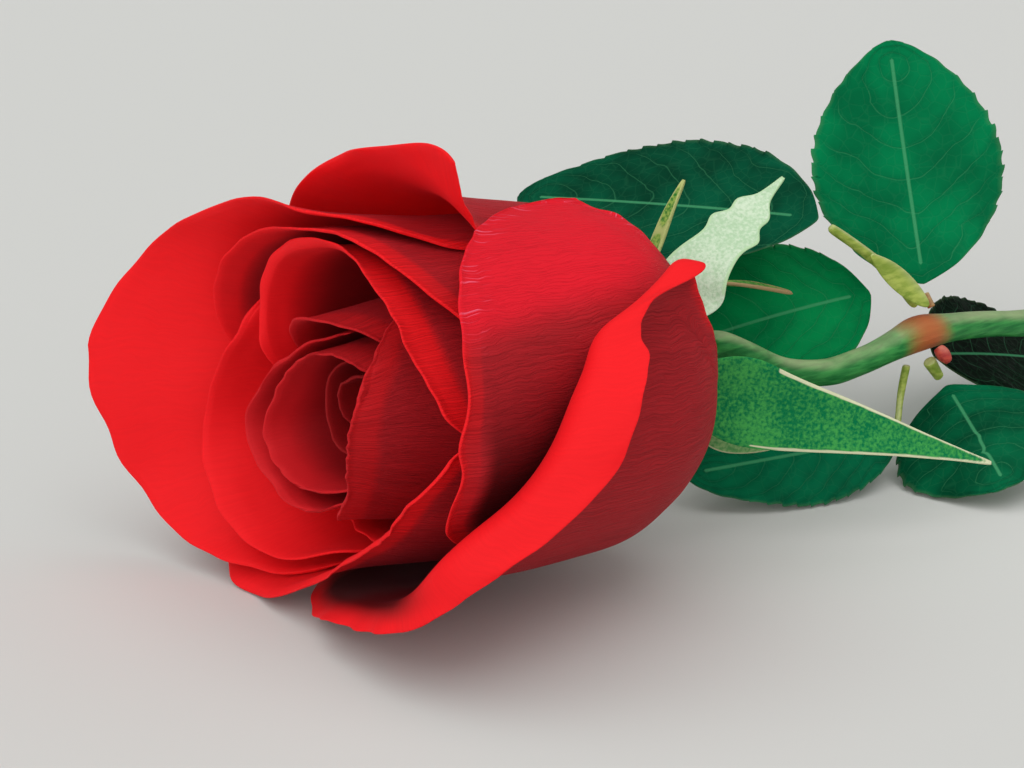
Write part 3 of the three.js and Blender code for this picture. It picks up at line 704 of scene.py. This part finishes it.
petals = []
for number, part in enumerate(OUTER_PETALS):
    petals.append(grow_petal(f"petal_outer_{part}", 3, 0.4, 0.35, PETAL_LOOKS[f"outer_{part}"],
                             number))
for number, part in enumerate(MIDDLE_PETALS):
    petals.append(grow_petal(f"petal_middle_{part}", 3, 0.3, 0.25, PETAL_LOOKS[f"middle_{part}"],
                             10 + number))
for number, part in enumerate(("inner_near", "inner_top", "eye_outer", "eye_inner")):
    petals.append(grow_petal(f"petal_{part}", 3, 0.2, 0.2, shaded_inner_petal, 20 + number))
for number in range(1, 7):
    petals.append(
        grow_petal(f"petal_heart_{number}", 2, 0.12, 0.12, shaded_heart_petal, 30 + number))
print("petals:", len(petals), "faces:", sum(len(p.data.polygons) for p in petals))

# %% [markdown]
# ## Leaf and sepal sheets
#
# A blade has a midrib, so besides its foot and edge it needs to know how far it is from the rib.
# The coarse blades are four faces wide, which puts the rib two steps in from either edge.


# %% Rib distance and blade directions
UNREACHED = 9
JOINT_FROM_BASE = Vector((42.2, -3.0, -6.1)) * MM
JOINT = bloom_base + JOINT_FROM_BASE


def read_blade(piece, thickness, foot, facing):
    """Grain of a blade: foot and edge as on any sheet, and the share from the rib to the edge."""
    def from_foot(points):
        away = np.linalg.norm(points - np.array(foot), axis=1)
        return away - away.min()

    def outside(points):
        return np.tile(np.array(facing), (len(points), 1))

    neighbours, along, edge, border = read_sheet(piece, thickness, from_foot, outside)
    steps = np.full(len(along), UNREACHED)
    steps[border] = 0
    for ring in (1, 2):
        for here, ways in enumerate(neighbours):
            if steps[here] == UNREACHED and any(steps[there] == ring - 1 for there, _ in ways):
                steps[here] = ring
    rib = walk(neighbours, np.flatnonzero(steps == 2), len(along))
    set_values(piece, "rib", rib / MM)
    set_values(piece, "side", rib / np.maximum(rib + edge, 0.05 * MM))
    return along.max() / MM


# %% [markdown]
# ## Leaf finish
#
# A rose leaflet is a dark green with a bluish cast above, a little glossy, and puckered between its
# veins. A pale midrib sends side veins to the teeth in arcs that bend to the tip, and a fine net
# fills the fields between them.


# %% Leaf material
VEIN_PAIRS = 8
VEIN_CURVE = 1.35
VEIN_LEAN = 3.6
NET_FINENESS = 620.0
UNDERSIDE = (0.2, 0.36, 0.16)


def leaf_finish(name, dark, light, vein, length):
    material, tree, shader = new_finish(name)
    along = stored(tree, "along")
    side = stored(tree, "side")
    rib = stored(tree, "rib")
    outer = stored(tree, "outer")
    wander = maths(tree, "MULTIPLY", cloudy(tree, None, 160.0), 0.7)
    row = maths(tree, "MULTIPLY", along, VEIN_PAIRS / length)
    lean = maths(tree, "MULTIPLY", maths(tree, "POWER", side, VEIN_CURVE), VEIN_LEAN)
    phase = maths(tree, "ADD", maths(tree, "SUBTRACT", row, lean), wander)
    place = maths(tree, "FRACT", phase)
    off_vein = maths(tree, "ABSOLUTE", maths(tree, "SUBTRACT", place, 0.5))
    side_vein = soft_step(tree, off_vein, 0.035, 0.0)
    side_vein = maths(tree, "MULTIPLY", side_vein, soft_step(tree, side, 1.0, 0.7, 0.25, 1.0))
    mid_vein = soft_step(tree, rib, 0.34, 0.1)
    big = maths(tree, "MAXIMUM", side_vein, mid_vein)
    net = net_lines(tree, stretched_place(tree, (NET_FINENESS,) * 3), 0.07)
    patches = cloudy(tree, None, 120.0, 3.0)
    grain = cloudy(tree, None, 900.0, 2.0)
    pillow = soft_step(tree, off_vein, 0.0, 0.4)
    tone = maths(tree, "ADD", maths(tree, "MULTIPLY", patches, 0.92),
                 maths(tree, "MULTIPLY", pillow, 0.08))
    colour = blend_colours(tree, soft_step(tree, tone, 0.3, 0.75), dark, light)
    colour = blend_colours(tree, maths(tree, "MULTIPLY", net, 0.05), colour, vein)
    colour = blend_colours(tree, maths(tree, "MULTIPLY", side_vein, 0.22), colour, vein)
    colour = blend_colours(tree, maths(tree, "MULTIPLY", mid_vein, 0.65), colour, vein)
    under = blend_colours(tree, 0.45, colour, UNDERSIDE)
    colour = blend_colours(tree, outer, under, colour)
    link(tree, colour, shader.inputs["Base Color"])
    link(tree, soft_step(tree, grain, 0.3, 0.7, 0.42, 0.58), shader.inputs["Roughness"])
    shader.inputs["Specular IOR Level"].default_value = 0.03
    relief = maths(tree, "SUBTRACT", maths(tree, "MULTIPLY", pillow, 0.1),
                   maths(tree, "ADD", maths(tree, "MULTIPLY", big, 0.4),
                         maths(tree, "MULTIPLY", net, 0.15)))
    relief = maths(tree, "ADD", relief, maths(tree, "MULTIPLY", grain, 0.12))
    add_relief(tree, shader, relief, 0.12)
    return material


# %% [markdown]
# ## The leaflets
#
# Rose leaflets are toothed like a saw whose teeth lean to the tip. The teeth are cut in the fine
# mesh by moving only the margin, and the blade is puckered between the side veins.


# %% Grow the leaflets
LEAF_THICKNESS = 0.45 * MM
BLADE_SWELL = 0.35 * MM
PUCKER = 0.025 * MM
TOOTH_DEPTH = 0.16        # as a share of the spacing of the teeth
TOOTH_REACH = 0.7         # in mm, in from the margin


def grow_leaflet(node_name, foot, facing, dark, light, vein, teeth_mm, seed):
    piece = coarse_copy(node_name)
    length = read_blade(piece, LEAF_THICKNESS, foot, Vector(facing).normalized())
    smooth_finely(piece, 3)
    points = points_of(piece)
    along = values_of(piece, "along")
    edge = values_of(piece, "edge")
    side = values_of(piece, "side")
    outwards = vectors_of(piece, "outwards")
    heart_line = Vector(points[along > 0.9 * length].mean(0) - points[along < 0.1 * length].mean(0))
    tipward = np.array(heart_line.normalized())
    across = np.cross(outwards, tipward)
    across /= np.linalg.norm(across, axis=1, keepdims=True)
    centre = points[along < 0.1 * length].mean(0)
    across *= np.sign(np.sum((points - centre) * across, axis=1))[:, None]
    tooth = ((along + 0.15 * swell(points / MM, 6, seed)) / teeth_mm) % 1.0
    cut = TOOTH_DEPTH * teeth_mm * MM * (tooth ** 1.4 - 0.4)
    cut *= np.exp(-edge / TOOTH_REACH) * np.clip((length - along) / 6, 0.15, 1)
    cut *= np.clip((along - 2) / 4, 0, 1)
    veins = np.cos(2 * math.pi * (along * VEIN_PAIRS / length - VEIN_LEAN * side ** VEIN_CURVE))
    pucker = PUCKER * veins * np.clip(side * 3, 0, 1) * np.clip(edge / 3, 0, 1)
    lift = pucker + BLADE_SWELL * swell(points / MM, 11, seed + 7) * side
    points += across * cut[:, None] + outwards * lift[:, None] + tipward * (0.8 * cut[:, None])
    set_points(piece, points)
    finish = leaf_finish(node_name + "_green", dark, light, vein, length)
    stand_for(piece, node_name, finish)
    return piece


PALE_VEIN = (0.07, 0.36, 0.16)
PETIOLE_REACH = Vector((-12.8, 4.8, 16.0)) * MM
petiole_tip = JOINT + PETIOLE_REACH
# Each leaflet's foot, the way its upper face looks, its darkest and lightest green, and the
# spacing of its teeth in mm. Some greens are painted lighter or darker for the light that reaches
# the leaflet: painted light on the upper far one, painted shadow on the near black lower right one.
LEAFLETS = {
    "leaflet_upper_end":
        (petiole_tip, (-0.5, -0.2, 0.9), (0.0, 0.04, 0.018), (0.0, 0.09, 0.04), 2.3),
    "leaflet_upper_near":
        (JOINT, (-0.55, -0.75, 0.4), (0.0, 0.12, 0.042), (0.0, 0.21, 0.07), 2.1),
    # Painted light: these greens are made lighter to stand in for the light on this leaflet.
    "leaflet_upper_far":
        (JOINT, (-0.5, -0.55, 0.75), (0.0, 0.17, 0.05), (0.0, 0.27, 0.075), 2.2),
    "leaflet_lower_end":
        (JOINT, (-0.7, -0.4, 0.7), (0.0, 0.05, 0.02), (0.0, 0.13, 0.05), 2.3),
    "leaflet_lower_left":
        (JOINT, (-0.3, -0.75, 0.75), (0.0, 0.07, 0.03), (0.0, 0.16, 0.065), 2.0),
    # Painted shadow: these greens are near black for the shadow this leaflet lies in.
    "leaflet_lower_right":
        (JOINT, (-0.1, -0.4, 1.0), (0.0, 0.004, 0.001), (0.0, 0.008, 0.002), 2.2),
}
leaflets = []
for number, (node_name, facts) in enumerate(LEAFLETS.items()):
    foot, facing, dark, light, teeth_mm = facts
    leaflets.append(
        grow_leaflet(node_name, foot, facing, dark, light, PALE_VEIN, teeth_mm, 60 + number))
print("leaflets:", len(leaflets), "faces:", sum(len(p.data.polygons) for p in leaflets))

# %% [markdown]
# ## Sepal finish
#
# A sepal is a stiff green spear with a downy pale edge, speckled and finely streaked along its
# length.


# %% Sepal finish
def sepal_finish(name, dark, light, rim, rim_width):
    material, tree, shader = new_finish(name)
    edge = stored(tree, "edge")
    along = stored(tree, "along")
    speckle = cloudy(tree, None, 2300.0, 4.0)
    patches = cloudy(tree, None, 140.0, 3.0)
    grain = cloudy(tree, across_and_along(tree, maths(tree, "MULTIPLY", stored(tree, "rib"), 2.4),
                                          maths(tree, "MULTIPLY", along, 0.25)), 1.0, 4.0)
    tone = maths(tree, "ADD", maths(tree, "MULTIPLY", speckle, 0.65),
                 maths(tree, "MULTIPLY", patches, 0.35))
    colour = blend_colours(tree, soft_step(tree, tone, 0.38, 0.64), dark, light)
    colour = blend_colours(tree, soft_step(tree, grain, 0.55, 0.75, 0.0, 0.35), colour, light)
    ragged = maths(tree, "ADD", edge, maths(tree, "MULTIPLY", grain, rim_width))
    colour = blend_colours(tree, soft_step(tree, ragged, 1.5 * rim_width, 0.7 * rim_width),
                           colour, rim)
    link(tree, colour, shader.inputs["Base Color"])
    shader.inputs["Roughness"].default_value = 0.6
    shader.inputs["Specular IOR Level"].default_value = 0.08
    relief = maths(tree, "ADD", maths(tree, "MULTIPLY", speckle, 0.5),
                   maths(tree, "MULTIPLY", grain, 0.5))
    add_relief(tree, shader, relief, 0.2)
    return material


# %% [markdown]
# ## Five sepals
#
# The near sepal is broad, green and finely speckled. The top one shows its whitish inner side. The
# other three are thin spears behind and below the bloom.

# %% Grow the sepals
SEPAL_THICKNESS = 0.55 * MM
SEPAL_SWELL = 0.25 * MM
# The way each sepal's face looks, its darkest and lightest colour, its rim's colour and width.
SEPALS = {
    "sepal_near":
        ((-0.2, -0.8, 0.5), (0.0, 0.18, 0.06), (0.06, 0.38, 0.08), (0.72, 0.74, 0.48), 0.36),
    "sepal_top":
        ((-0.6, -0.6, 0.5), (0.46, 0.66, 0.42), (0.66, 0.8, 0.6), (0.5, 0.72, 0.42), 0.3),
    "sepal_far_top":
        ((-0.9, -0.3, 0.2), (0.03, 0.2, 0.03), (0.35, 0.5, 0.1), (0.5, 0.55, 0.2), 0.3),
    "sepal_far":
        ((-0.2, -0.4, 1.0), (0.05, 0.22, 0.04), (0.2, 0.4, 0.08), (0.45, 0.3, 0.15), 0.35),
    "sepal_low":
        ((0.3, -0.9, 0.1), (0.1, 0.34, 0.1), (0.3, 0.5, 0.2), (0.6, 0.6, 0.35), 0.3),
}
sepals = []
for number, (node_name, facts) in enumerate(SEPALS.items()):
    facing, dark, light, rim, rim_width = facts
    piece = coarse_copy(node_name)
    read_blade(piece, SEPAL_THICKNESS, hip_middle, Vector(facing).normalized())
    smooth_finely(piece, 3)
    points = points_of(piece)
    lift = SEPAL_SWELL * swell(points / MM, 8, 90 + number)
    points += vectors_of(piece, "outwards") * lift[:, None]
    set_points(piece, points)
    stand_for(piece, node_name,
              sepal_finish(node_name + "_green", dark, light, rim, rim_width))
    sepals.append(piece)
print("sepals:", len(sepals))

# %% [markdown]
# ## Bark and skin
#
# The bark is green with a painted highlight along its top, where the light from above falls on it,
# and turns orange red where the leaves join it. Fine streaks run along it.


# %% Bark finish
def bark_finish(name, shaded, lit, joint_colour=None, top_highlight=(0.6, 0.62, 0.36), top_highlight_share=0.75):
    material, tree, shader = new_finish(name)
    streaks = cloudy(tree, stretched_place(tree, (220.0, 1600.0, 1600.0)), 1.0, 4.0)
    patches = cloudy(tree, None, 200.0, 3.0)
    facing = tree.nodes.new("ShaderNodeNewGeometry")
    split = tree.nodes.new("ShaderNodeSeparateXYZ")
    tree.links.new(facing.outputs["Normal"], split.inputs["Vector"])
    colour = blend_colours(tree, soft_step(tree, streaks, 0.3, 0.7), shaded, lit)
    # Painted highlight: where the surface faces up to the light, it is painted towards a pale
    # colour.
    top = maths(tree, "MULTIPLY", soft_step(tree, split.outputs["Z"], 0.25, 0.9),
                soft_step(tree, patches, 0.3, 0.6, 0.5, 1.0))
    colour = blend_colours(tree, maths(tree, "MULTIPLY", top, top_highlight_share), colour, top_highlight)
    if joint_colour:
        away = tree.nodes.new("ShaderNodeVectorMath")
        away.operation = "DISTANCE"
        link(tree, object_place(tree), away.inputs[0])
        away.inputs[1].default_value = JOINT
        uneven = maths(tree, "MULTIPLY", patches, 2.0 * MM)
        near = soft_step(tree, maths(tree, "SUBTRACT", away.outputs["Value"], uneven),
                         4.5 * MM, 1.2 * MM)
        colour = blend_colours(tree, near, colour, joint_colour)
    link(tree, colour, shader.inputs["Base Color"])
    shader.inputs["Roughness"].default_value = 0.48
    shader.inputs["Specular IOR Level"].default_value = 0.2
    add_relief(tree, shader, maths(tree, "ADD", streaks, patches), 0.18)
    return material


def grow_round(node_name, lumps, finish, seed):
    piece = coarse_copy(node_name)
    smooth_finely(piece, 2)
    points = points_of(piece)
    normals = np.array([vertex.normal for vertex in piece.data.vertices])
    points += normals * (lumps * MM * swell(points / MM, 5, seed))[:, None]
    set_points(piece, points)
    stand_for(piece, node_name, finish)


# %% [markdown]
# ## Hip, stem, stalks and prickles
#
# These are round, fleshy pieces. The stalks are yellow green, and the bud and the prickles are
# reddish.

# %% Grow the round pieces
stem_bark = bark_finish("stem_bark", (0.01, 0.17, 0.035), (0.05, 0.32, 0.07), (0.5, 0.13, 0.04),
                        top_highlight_share=0.5)
hip_skin = bark_finish("hip_skin", (0.1, 0.28, 0.05), (0.22, 0.42, 0.1))
stalk_skin = bark_finish("stalk_skin", (0.22, 0.32, 0.04), (0.42, 0.5, 0.1))
red_stalk_skin = bark_finish("red_stalk_skin", (0.3, 0.1, 0.03), (0.45, 0.2, 0.06))
bud_skin = bark_finish("bud_skin", (0.35, 0.03, 0.03), (0.55, 0.08, 0.05), top_highlight=(0.6, 0.2, 0.15))
prickle_skin = bark_finish("prickle_skin", (0.3, 0.07, 0.03), (0.5, 0.2, 0.08),
                           top_highlight=(0.6, 0.3, 0.14))
grow_round("stem", 0.1, stem_bark, 120)
grow_round("hip", 0.1, hip_skin, 121)
grow_round("petiole_upper", 0.05, stalk_skin, 122)
grow_round("petiole_lower", 0.05, stalk_skin, 123)
grow_round("petiole_near", 0.03, red_stalk_skin, 129)
grow_round("petiole_lower_left", 0.03, stalk_skin, 130)
grow_round("joint_bud", 0.03, bud_skin, 131)
for number in range(1, 5):
    grow_round(f"prickle_{number}", 0.02, prickle_skin, 124 + number)

stipule = coarse_copy("stipule_upper")
smooth_finely(stipule, 3)
stand_for(stipule, "stipule_upper", stalk_skin)
print("round pieces done")
